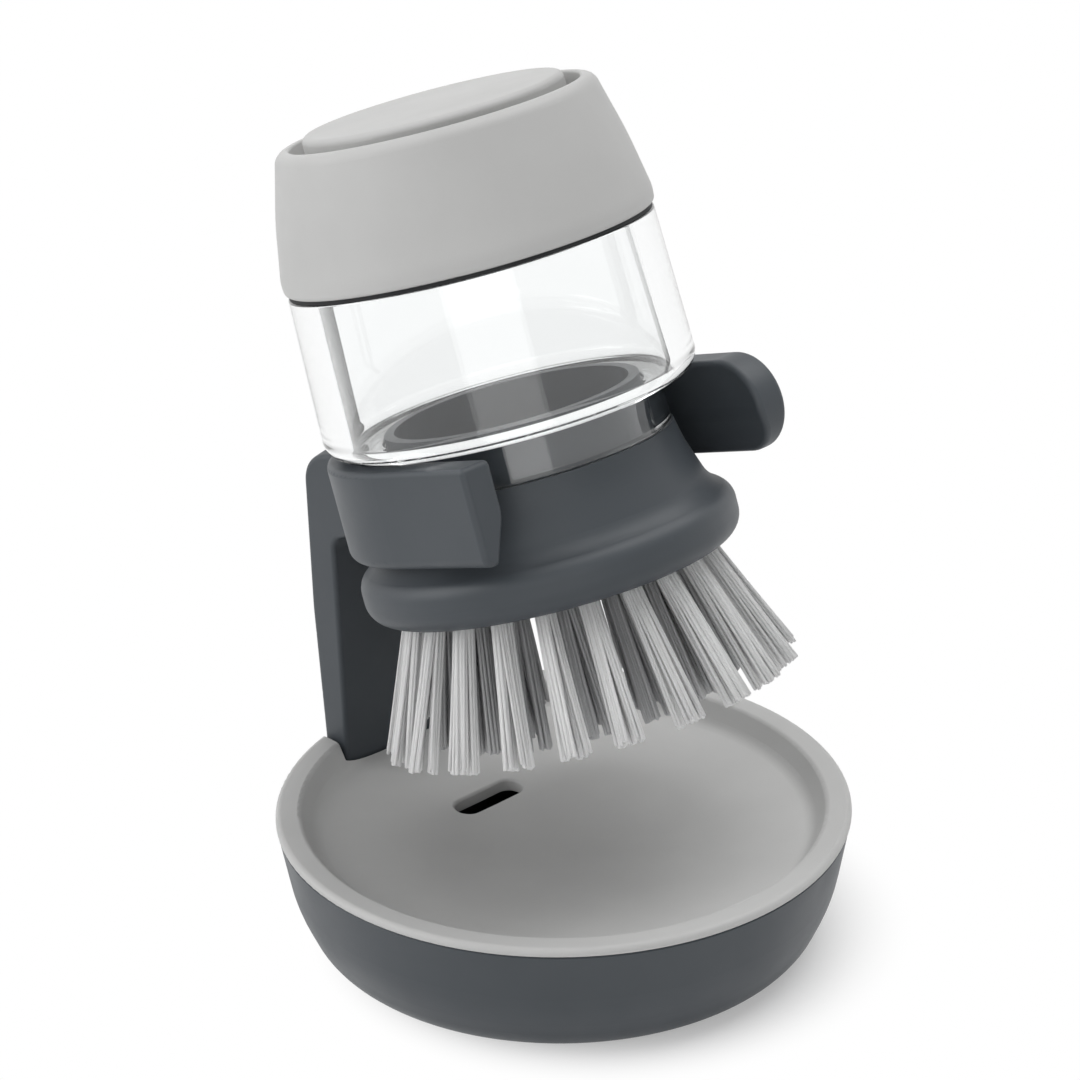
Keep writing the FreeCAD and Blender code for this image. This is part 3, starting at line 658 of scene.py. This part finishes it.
    def tuft_mesh(self, ring: TuftRing, random: np.random.Generator) -> bpy.types.Mesh:
        """Makes the filaments of one ring as closed tubes with rounded tips.

        Each tube's ring of points is a small regular polygon, square to its tuft's direction,
        and the last ring is smaller.

        Args:
            ring: the ring to make.
            random: source of the scatter.

        Returns:
            One mesh with a tint for each filament, which in the middle and inner rings is painted shade.
        """
        lines, direction = self.filament_lines(ring, random)
        first = np.cross(direction, np.array(ALMOST_UP))
        first /= np.linalg.norm(first, axis=-1, keepdims=True)
        second = np.cross(direction, first)
        angle = np.arange(self.filament_sides) * FULL_TURN / self.filament_sides
        circle = np.cos(angle)[:, None] * first[:, None, :] + np.sin(angle)[:, None] * second[:, None, :]
        radius = np.full(self.filament_rings, self.filament_radius_mm)
        radius[-1] *= self.tip_dome_share
        points = lines[:, :, :, None, :] + radius[:, None, None] * circle[:, None, None, :, :]
        tubes = ring.count * self.filaments_per_tuft
        starts = np.arange(tubes)[:, None, None] * self.filament_rings * self.filament_sides
        sides = grid_faces(self.filament_rings, self.filament_sides) + starts
        ends = end_faces(self.filament_rings, self.filament_sides) + starts
        faces = sides.reshape(-1, 4).tolist() + ends.reshape(-1, self.filament_sides).tolist()
        mesh = smooth_mesh("filaments_" + ring.name, self.axis.place(points.reshape(-1, 3)), faces)
        # Random tint for each filament; the low ranges of the middle and inner rings are painted shade.
        tint = random.uniform(*ring.tints_and_painted_shade, tubes).astype(np.float32)
        values = np.repeat(tint, len(mesh.vertices) // tubes)
        mesh.attributes.new(TINT_AND_SHADE_ATTRIBUTE, "FLOAT", "POINT").data.foreach_set("value", values)
        return mesh


@dataclass
class CapAndPump:
    """Palm cap with its button, gasket, retainer, return spring and pump diaphragm."""

    axis: BrushAxis
    shelf_bottom_mm: float = 36.9
    shelf_top_mm: float = 38.9
    button_ceiling_mm: float = 46.6
    button_travel_mm: float = 4.0
    seat_gap_mm: float = 0.05
    spring_radius_mm: float = 15.6
    wire_radius_mm: float = 0.35
    spring_turns: int = 3
    rings_per_turn: int = 64
    wire_sides: int = 12
    crown_mm: float = 46.5
    wall_mm: float = 1.0
    crown_radius_mm: float = 10.8
    foot_radius_mm: float = 12.4
    flange_radius_mm: float = 20.5
    fold_mm: float = 0.5
    folds: int = 2
    crown_power: float = 6.0
    crown_root: float = 3.0
    cup_steps: int = 48
    cup_columns: int = 96
    pole_mm: float = 0.3

    def build(self, wardrobe: Wardrobe) -> None:
        """Dresses the cap's nodes and replaces the spring and the diaphragm under the button.

        Args:
            wardrobe: the finishes.
        """
        wardrobe.dress_nodes("cap_shell", "push_button", "cap_gasket", "diaphragm_retainer")
        spring = wardrobe.add_piece(self.spring_mesh(), Body.CAP, Slot.STEEL, "button_spring")
        self.squash(spring, self.shelf_top_mm)
        cup = wardrobe.add_piece(self.cup_mesh(), Body.CAP, Slot.SILICONE, "pump_diaphragm")
        self.squash(cup, self.shelf_bottom_mm - self.wall_mm)

    def squash(self, piece: bpy.types.Object, low_mm: float) -> None:
        """Gives a piece a mesh of its own.

        Args:
            piece: the soft piece.
            low_mm: height of its fixed end; not used.
        """
        anchor = self.axis.place(np.array([0.0, 0.0, low_mm]))
        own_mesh(piece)

    def spring_mesh(self) -> bpy.types.Mesh:
        """Makes the coil spring.

        The centre line climbs evenly round the axis from the shelf to the button's underside.
        At each of its points the wire's ring lies in the plane of the radius and the axis, and
        runs downwards first, so that its faces look outwards.

        Returns:
            The closed mesh.
        """
        rings = self.spring_turns * self.rings_per_turn + 1
        turn = np.linspace(0.0, FULL_TURN * self.spring_turns, rings)
        inset = self.wire_radius_mm + self.seat_gap_mm
        height = np.linspace(self.shelf_top_mm + inset, self.button_ceiling_mm - inset, rings)
        angle = np.arange(self.wire_sides) * FULL_TURN / self.wire_sides
        radius = self.spring_radius_mm + self.wire_radius_mm * np.cos(angle)
        points = np.stack([
            radius * np.cos(turn)[:, None],
            radius * np.sin(turn)[:, None],
            height[:, None] - self.wire_radius_mm * np.sin(angle)], axis=-1)
        faces = grid_faces(rings, self.wire_sides).tolist() + end_faces(rings, self.wire_sides).tolist()
        return smooth_mesh("return_spring", self.axis.place(points.reshape(-1, 3)), faces)

    def cup_mesh(self) -> bpy.types.Mesh:
        """Makes the pump's diaphragm as a turned cup with a flange and soft folds in its wall.

        The outer profile runs from the crown's middle out and down, with steps that are close
        together at the crown. Its wall goes straight from the crown's radius to the foot's, less
        a cosine wave that makes the folds, and a superellipse rounds the crown into it. The
        inner profile is the same, one wall further in, and the flange joins the two at the
        bottom. The profile is turned clockwise, so that its faces look outwards.

        Returns:
            The closed mesh.
        """
        drop = np.linspace(0.0, 1.0, self.cup_steps) ** 2
        rounding = (1.0 - (1.0 - drop) ** self.crown_power) ** (1.0 / self.crown_root)
        waves = self.fold_mm * (1.0 - np.cos(FULL_TURN * self.folds * drop)) / 2.0
        slant = self.foot_radius_mm - self.crown_radius_mm
        radius = rounding * (self.crown_radius_mm + slant * drop) - waves
        height = self.crown_mm + (self.shelf_bottom_mm - self.crown_mm) * drop
        outer = np.stack([np.maximum(radius, self.pole_mm), height], axis=-1)
        hollow = np.maximum(radius - self.wall_mm, self.pole_mm)
        inner = np.stack([hollow, height - self.wall_mm], axis=-1)
        flange = np.array([
            (self.flange_radius_mm, self.shelf_bottom_mm),
            (self.flange_radius_mm, self.shelf_bottom_mm - self.wall_mm)])
        profile = np.concatenate([outer, flange, inner[::-1]])
        turn = np.arange(self.cup_columns) * FULL_TURN / self.cup_columns
        points = np.stack([
            profile[:, :1] * np.cos(turn),
            -profile[:, :1] * np.sin(turn),
            np.repeat(profile[:, 1:], self.cup_columns, axis=1)], axis=-1)
        faces = grid_faces(*points.shape[:2]).tolist() + end_faces(*points.shape[:2]).tolist()
        return smooth_mesh("diaphragm_cup", self.axis.place(points.reshape(-1, 3)), faces)


@dataclass(frozen=True)
class ScrewThread:
    """Ridges of a screw thread on a round wall of the tank."""

    wall_radius_mm: float
    start_mm: float
    reach_mm: float
    foot_half_mm: float
    tip_half_mm: float
    lead_mm: float
    starts: int = 3
    span_deg: float = 90.0

    def swell(self, profile: np.ndarray, turn: np.ndarray) -> np.ndarray:
        """Tells how far the ridges lift the wall.

        A ridge's middle climbs evenly with the angle from its start. Across the ridge the lift
        is a trapezium: full near the middle, falling evenly to nothing at the ridge's foot.

        Args:
            profile: radius and height (n, 2) of the turned outline in millimetres.
            turn: angles (m,) round the axis.

        Returns:
            Lift (n, m) in millimetres, nothing away from the thread's own wall.
        """
        since_start = np.degrees(turn) % (FULL_TURN_DEG / self.starts)
        middle = self.start_mm + self.lead_mm * since_start / FULL_TURN_DEG
        aside = np.abs(profile[:, 1:] - middle)
        slope = self.foot_half_mm - self.tip_half_mm
        ridge = np.clip((self.foot_half_mm - aside) / slope, 0.0, 1.0)
        on_wall = np.isclose(profile[:, :1], self.wall_radius_mm)
        return self.reach_mm * ridge * (since_start <= self.span_deg) * on_wall


@dataclass
class Reservoir:
    """Clear soap tank with its threads, and the seal under its neck.

    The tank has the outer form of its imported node, a hair clear of its neighbours. Its foot is
    rounder and its floor thinner, so that the foot gathers light into the two white lines that
    the photograph shows there; a fine parting groove in the foot's bevel lies between them.
    """

    axis: BrushAxis
    neck_bore_mm: float = 20.4
    neck_radius_mm: float = 21.5
    neck_bottom_mm: float = -13.68
    band_radius_mm: float = 23.1
    band_bottom_mm: float = -6.5
    shoulder_mm: float = 0.02
    shoulder_rounding_mm: float = 0.6
    foot_radius_mm: float = 29.2
    foot_bevel_mm: float = 2.11
    foot_rounding_mm: float = 2.9
    groove_half_mm: float = 0.125
    groove_depth_mm: float = 0.105
    groove_rounding_mm: float = 0.06
    top_radius_mm: float = 28.5
    top_mm: float = 25.68
    mouth_radius_mm: float = 25.9
    mouth_bore_mm: float = 24.3
    mouth_top_mm: float = 32.3
    inner_radius_mm: float = 25.0
    floor_mm: float = 1.3
    floor_fall_mm: float = 0.2
    floor_rounding_mm: float = 0.5
    edge_rounding_mm: float = 0.3
    arc_steps: int = 8
    guard_mm: float = 0.08
    thread_step_mm: float = 0.1
    columns: int = 240

    def build(self, wardrobe: Wardrobe) -> None:
        """Dresses the seal and replaces the tank.

        Args:
            wardrobe: the finishes.
        """
        wardrobe.dress_nodes("neck_seal")
        wardrobe.add_piece(self.tank_mesh(), Body.BRUSH, Slot.CLEAR, "reservoir")

    def threads(self) -> tuple[ScrewThread, ScrewThread]:
        """Gives the threads of the neck and of the mouth, each with the lead of its joint.

        Returns:
            The two threads.
        """
        neck = ScrewThread(
            self.neck_radius_mm, start_mm=-12.6, reach_mm=0.75,
            foot_half_mm=0.51, tip_half_mm=0.345, lead_mm=9.0)
        mouth = ScrewThread(
            self.mouth_radius_mm, start_mm=28.7, reach_mm=0.80,
            foot_half_mm=0.555, tip_half_mm=0.375, lead_mm=9.6)
        return neck, mouth

    def corners(self) -> np.ndarray:
        """Lists the corners of the tank's outline, up the outside and down the inside.

        Returns:
            Radius, height and rounding (n, 3) in millimetres.
        """
        edge = self.edge_rounding_mm
        groove = self.groove_rounding_mm
        middle_radius = self.foot_radius_mm - self.foot_bevel_mm / 2.0
        middle = self.shoulder_mm + self.foot_bevel_mm / 2.0
        half = self.groove_half_mm
        depth = self.groove_depth_mm
        return np.array([
            (self.neck_bore_mm, self.neck_bottom_mm, edge),
            (self.neck_radius_mm, self.neck_bottom_mm, edge),
            (self.neck_radius_mm, self.band_bottom_mm, edge),
            (self.band_radius_mm, self.band_bottom_mm, edge),
            (self.band_radius_mm, self.shoulder_mm, self.shoulder_rounding_mm),
            (self.foot_radius_mm - self.foot_bevel_mm, self.shoulder_mm, self.foot_rounding_mm),
            (middle_radius - half, middle - half, groove),
            (middle_radius - depth, middle + depth, groove),
            (middle_radius + half, middle + half, groove),
            (self.foot_radius_mm, self.shoulder_mm + self.foot_bevel_mm, self.foot_rounding_mm),
            (self.top_radius_mm, self.top_mm, edge),
            (self.mouth_radius_mm, self.top_mm, edge),
            (self.mouth_radius_mm, self.mouth_top_mm, edge),
            (self.mouth_bore_mm, self.mouth_top_mm, edge),
            (self.inner_radius_mm, self.floor_mm, self.floor_rounding_mm),
            (self.neck_bore_mm, self.floor_mm - self.floor_fall_mm, edge)])

    def outline(self) -> np.ndarray:
        """Rounds the corners of the tank's outline.

        Each corner becomes an arc that touches both of its sides, drawn by turning one radius
        evenly into the other. A guard point just before and just after the arc keeps the flat
        sides flat in shading.

        Returns:
            Radius and height (n, 2) of the closed outline in millimetres.
        """
        here, radius = np.split(self.corners(), [2], axis=1)
        before = np.roll(here, 1, axis=0) - here
        before /= np.linalg.norm(before, axis=1, keepdims=True)
        after = np.roll(here, -1, axis=0) - here
        after /= np.linalg.norm(after, axis=1, keepdims=True)
        half = np.arccos((before * after).sum(axis=1, keepdims=True)) / 2.0
        bisector = (before + after) / np.linalg.norm(before + after, axis=1, keepdims=True)
        centre = here + bisector * radius / np.sin(half)
        first = here + before * radius / np.tan(half)
        last = here + after * radius / np.tan(half)
        sweep = (math.pi - 2.0 * half)[:, None, :]
        share = np.linspace(0.0, 1.0, self.arc_steps + 1)[None, :, None]
        from_first = np.sin((1.0 - share) * sweep) / np.sin(sweep)
        from_last = np.sin(share * sweep) / np.sin(sweep)
        arc = (centre[:, None, :]
               + from_first * (first - centre)[:, None, :]
               + from_last * (last - centre)[:, None, :])
        lead_in = (first + self.guard_mm * before)[:, None, :]
        lead_out = (last + self.guard_mm * after)[:, None, :]
        return np.concatenate([lead_in, arc, lead_out], axis=1).reshape(-1, 2)

    def threaded_outline(self) -> np.ndarray:
        """Adds close points to the outline along the walls that carry threads.

        Returns:
            Radius and height (n, 2) of the closed outline in millimetres.
        """
        closed = self.outline()
        closed = np.concatenate([closed, closed[:1]])
        length = np.append(0.0, np.cumsum(np.linalg.norm(np.diff(closed, axis=0), axis=1)))
        extra = np.arange(0.0, length[-1], self.thread_step_mm)
        radius = np.interp(extra, length, closed[:, 0])
        walls = [thread.wall_radius_mm for thread in self.threads()]
        on_wall = np.isclose(radius[:, None], walls).any(axis=1)
        stations = np.union1d(length[:-1], extra[on_wall])
        return np.stack([np.interp(stations, length, closed[:, part]) for part in (0, 1)], axis=-1)

    def tank_mesh(self) -> bpy.types.Mesh:
        """Turns the outline round the axis and lifts the thread ridges out of it.

        Returns:
            The closed mesh.
        """
        profile = self.threaded_outline()
        turn = np.arange(self.columns) * FULL_TURN / self.columns
        radius = profile[:, :1] + sum(thread.swell(profile, turn) for thread in self.threads())
        height = np.repeat(profile[:, 1:], self.columns, axis=1)
        points = np.stack([radius * np.cos(turn), radius * np.sin(turn), height], axis=-1)
        points = points.reshape(-1, 3)
        faces = grid_faces(len(profile) + 1, self.columns) % len(points)
        return smooth_mesh("clear_tank", self.axis.place(points), faces.tolist())


@dataclass
class Stand:
    """Bowl with its pad, upright and drip tray."""

    nodes: tuple[str, ...] = ("base_bowl", "foot_pad", "cradle_upright", "drip_tray")

    def build(self, wardrobe: Wardrobe) -> None:
        """Dresses the stand's nodes with the finishes of a wardrobe."""
        wardrobe.dress_nodes(*self.nodes)


def sight_line(azimuth_deg: float, elevation_deg: float) -> Vector:
    """Gives a direction from the object.

    Args:
        azimuth_deg: turn from -Y towards +X.
        elevation_deg: height above the horizon.

    Returns:
        The unit vector that points there.
    """
    azimuth = math.radians(azimuth_deg)
    elevation = math.radians(elevation_deg)
    return Vector((math.sin(azimuth) * math.cos(elevation),
                   -math.cos(azimuth) * math.cos(elevation),
                   math.sin(elevation)))


@dataclass(frozen=True)
class PhotoCamera:
    """Camera fitted to the photograph."""

    azimuth_deg: float = -43.64
    elevation_deg: float = 26.33
    roll_deg: float = -0.95
    distance_m: float = 0.7611
    target_m: tuple[float, float, float] = (0.0, 0.0, 0.0675)
    focal_pixels: float = 5000.0
    centre_pixels: tuple[float, float] = (559.2, 541.6)
    near_clip_m: float = 0.01

    def build(self) -> bpy.types.Object:
        """Adds the camera and makes it the scene's.

        Returns:
            The camera object.
        """
        back = sight_line(self.azimuth_deg, self.elevation_deg)
        level = sight_line(self.azimuth_deg + 90.0, 0.0)
        upright = back.cross(level)
        roll = math.radians(self.roll_deg)
        right = level * math.cos(roll) + upright * math.sin(roll)
        up = upright * math.cos(roll) - level * math.sin(roll)
        data = bpy.data.cameras.new("photo_camera")
        data.sensor_width = SENSOR_MM
        data.lens = self.focal_pixels / IMAGE_PIXELS * SENSOR_MM
        data.shift_x = 0.5 - self.centre_pixels[0] / IMAGE_PIXELS
        data.shift_y = self.centre_pixels[1] / IMAGE_PIXELS - 0.5
        data.clip_start = self.near_clip_m
        camera = bpy.data.objects.new("photo_camera", data)
        camera.matrix_world = Matrix((right, up, back)).transposed().to_4x4()
        camera.location = Vector(self.target_m) + back * self.distance_m
        bpy.context.scene.collection.objects.link(camera)
        bpy.context.scene.camera = camera
        return camera


@dataclass(frozen=True)
class Card:
    """A small upright card that only the clear tank shows, as a dark strip along its wall.

    It shows only to rays that have gone through a number of faces, so that a strip which comes
    through both walls isn't seen once more in the wall's edge.
    """

    name: str
    azimuth_deg: float
    distance_m: float
    width_m: float
    height_m: float
    middle_z_m: float
    colour: str
    faces_passed: int

    def build(self) -> None:
        """Adds the card, which faces the object and is hidden from all but transmitted rays."""
        middle = sight_line(self.azimuth_deg, 0.0) * self.distance_m
        middle = middle + Vector((0.0, 0.0, self.middle_z_m))
        across = sight_line(self.azimuth_deg + 90.0, 0.0) * self.width_m / 2.0
        rise = Vector((0.0, 0.0, self.height_m / 2.0))
        corners = [
            middle - across - rise, middle + across - rise,
            middle + across + rise, middle - across + rise]
        mesh = smooth_mesh(self.name, np.array(corners), [[0, 1, 2, 3]])
        material, tree, _ = start_material("studio_" + self.name)
        surface = add_node(tree, "ShaderNodeBsdfPrincipled", {
            "Base Color": linear(self.colour), "Roughness": 1.0, "Specular IOR Level": 0.0})
        passed = add_node(tree, "ShaderNodeLightPath").outputs["Transmission Depth"]
        # Depth is a whole number, so the test lies half a face below the one that has to pass.
        shown = add_node(tree, "ShaderNodeMath", {
            0: passed, 1: self.faces_passed - 0.5}, operation="GREATER_THAN")
        hidden = add_node(tree, "ShaderNodeBsdfTransparent")
        blend = add_node(tree, "ShaderNodeMixShader", {
            0: shown.outputs[0], 1: hidden.outputs["BSDF"], 2: surface.outputs["BSDF"]})
        add_node(tree, "ShaderNodeOutputMaterial", {"Surface": blend.outputs["Shader"]})
        mesh.materials.append(material)
        card = bpy.data.objects.new(self.name, mesh)
        bpy.context.scene.collection.objects.link(card)
        card.visible_camera = False
        card.visible_shadow = False
        card.visible_diffuse = False
        card.visible_glossy = False


@dataclass(frozen=True)
class Lamp:
    """A large soft lamp, far away."""

    name: str
    azimuth_deg: float
    elevation_deg: float
    strength: float
    angle_deg: float = 50.0

    def build(self) -> None:
        """Adds the lamp."""
        light = bpy.data.lights.new(self.name, "SUN")
        light.energy = self.strength
        light.angle = math.radians(self.angle_deg)
        lamp = bpy.data.objects.new(self.name, light)
        direction = sight_line(self.azimuth_deg, self.elevation_deg)
        lamp.rotation_mode = "QUATERNION"
        lamp.rotation_quaternion = direction.to_track_quat("Z", "Y")
        bpy.context.scene.collection.objects.link(lamp)


@dataclass(frozen=True)
class Studio:
    """White floor and surroundings, four large soft lamps and two dark cards beside the tank."""

    floor_half_m: float = 6.0
    floor_colour: str = "#FFFFFF"
    floor_lift: float = 0.35
    shadow_centre_m: tuple[float, float, float] = (0.005, -0.005, 0.0)
    shadow_near_m: float = 0.032
    shadow_far_m: float = 0.048
    ambient: float = 0.06
    lamps: tuple[Lamp, ...] = (
        Lamp("left_lamp", azimuth_deg=-130.0, elevation_deg=28.0, strength=1.28),
        Lamp("rear_lamp", azimuth_deg=91.4, elevation_deg=60.0, strength=1.19),
        Lamp("top_lamp", azimuth_deg=0.0, elevation_deg=89.9, strength=0.86),
        Lamp("front_lamp", azimuth_deg=-43.6, elevation_deg=20.0, strength=0.55))
    cards: tuple[Card, ...] = (
        Card("left_card", azimuth_deg=-176.5, distance_m=0.118, width_m=0.050, height_m=0.072,
             middle_z_m=0.054, colour="#1C1C1C", faces_passed=4),
        Card("right_card", azimuth_deg=80.0, distance_m=0.144, width_m=0.012, height_m=0.080,
             middle_z_m=0.085, colour="#101010", faces_passed=1))

    def build(self) -> None:
        """Adds the floor, the surroundings, the lamps and the cards."""
        self.build_floor()
        self.build_world()
        for item in self.lamps + self.cards:
            item.build()
        bpy.context.scene.view_settings.view_transform = "Standard"

    def seen_rays(self, tree: bpy.types.NodeTree) -> bpy.types.NodeSocket:
        """Tells rays that show a background from rays that light the object.

        Args:
            tree: the node tree that asks.

        Returns:
            A socket that is 1 for camera, glossy and transmission rays.
        """
        path = add_node(tree, "ShaderNodeLightPath").outputs
        bright = add_node(tree, "ShaderNodeMath", {
            0: path["Is Camera Ray"], 1: path["Is Glossy Ray"]}, operation="MAXIMUM")
        return add_node(tree, "ShaderNodeMath", {
            0: bright.outputs[0], 1: path["Is Transmission Ray"]}, operation="MAXIMUM").outputs[0]

    def build_floor(self) -> None:
        """Adds the plain pale floor, lifted towards white where it is seen.

        The lift leaves the shadow round the object's foot and is full a little further out.
        """
        corners = self.floor_half_m * np.array([
            (-1.0, -1.0, 0.0), (1.0, -1.0, 0.0), (1.0, 1.0, 0.0), (-1.0, 1.0, 0.0)])
        mesh = smooth_mesh("floor", corners, [[0, 1, 2, 3]])
        material, tree, place = start_material("studio_floor_white")
        paper = add_node(tree, "ShaderNodeBsdfPrincipled", {
            "Base Color": linear(self.floor_colour), "Roughness": 1.0, "Specular IOR Level": 0.0})
        white = add_node(tree, "ShaderNodeEmission", {"Color": (1.0, 1.0, 1.0, 1.0), "Strength": 1.0})
        apart = add_node(tree, "ShaderNodeVectorMath", {
            0: place, 1: self.shadow_centre_m}, operation="DISTANCE")
        share = add_node(tree, "ShaderNodeMapRange", {
            "Value": apart.outputs["Value"],
            "From Min": self.shadow_near_m, "From Max": self.shadow_far_m,
            "To Min": self.floor_lift, "To Max": 1.0}, interpolation_type="SMOOTHSTEP")
        lift = add_node(tree, "ShaderNodeMath", {
            0: self.seen_rays(tree), 1: share.outputs["Result"]}, operation="MULTIPLY")
        blend = add_node(tree, "ShaderNodeMixShader", {
            0: lift.outputs[0], 1: paper.outputs["BSDF"], 2: white.outputs["Emission"]})
        add_node(tree, "ShaderNodeOutputMaterial", {"Surface": blend.outputs["Shader"]})
        mesh.materials.append(material)
        floor = bpy.data.objects.new("floor", mesh)
        bpy.context.scene.collection.objects.link(floor)

    def build_world(self) -> None:
        """Makes surroundings that look white, and light the object at a plain level."""
        world = bpy.data.worlds.new("studio_world")
        world.use_nodes = True
        tree = world.node_tree
        tree.nodes.clear()
        strength = add_node(tree, "ShaderNodeMapRange", {
            "Value": self.seen_rays(tree), "To Min": self.ambient, "To Max": 1.0})
        sky = add_node(tree, "ShaderNodeBackground", {
            "Color": (1.0, 1.0, 1.0, 1.0), "Strength": strength.outputs["Result"]})
        add_node(tree, "ShaderNodeOutputWorld", {"Surface": sky.outputs["Background"]})
        bpy.context.scene.world = world


def main() -> None:
    """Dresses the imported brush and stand, and sets the studio round them."""
    logging.basicConfig(level=logging.INFO)
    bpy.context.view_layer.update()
    wardrobe = Wardrobe()
    axis = BrushAxis()
    Stand().build(wardrobe)
    Reservoir(axis).build(wardrobe)
    CapAndPump(axis).build(wardrobe)
    BrushHead(axis).build(wardrobe)
    Studio().build()
    PhotoCamera().build()


if __name__ == "__main__":
    main()
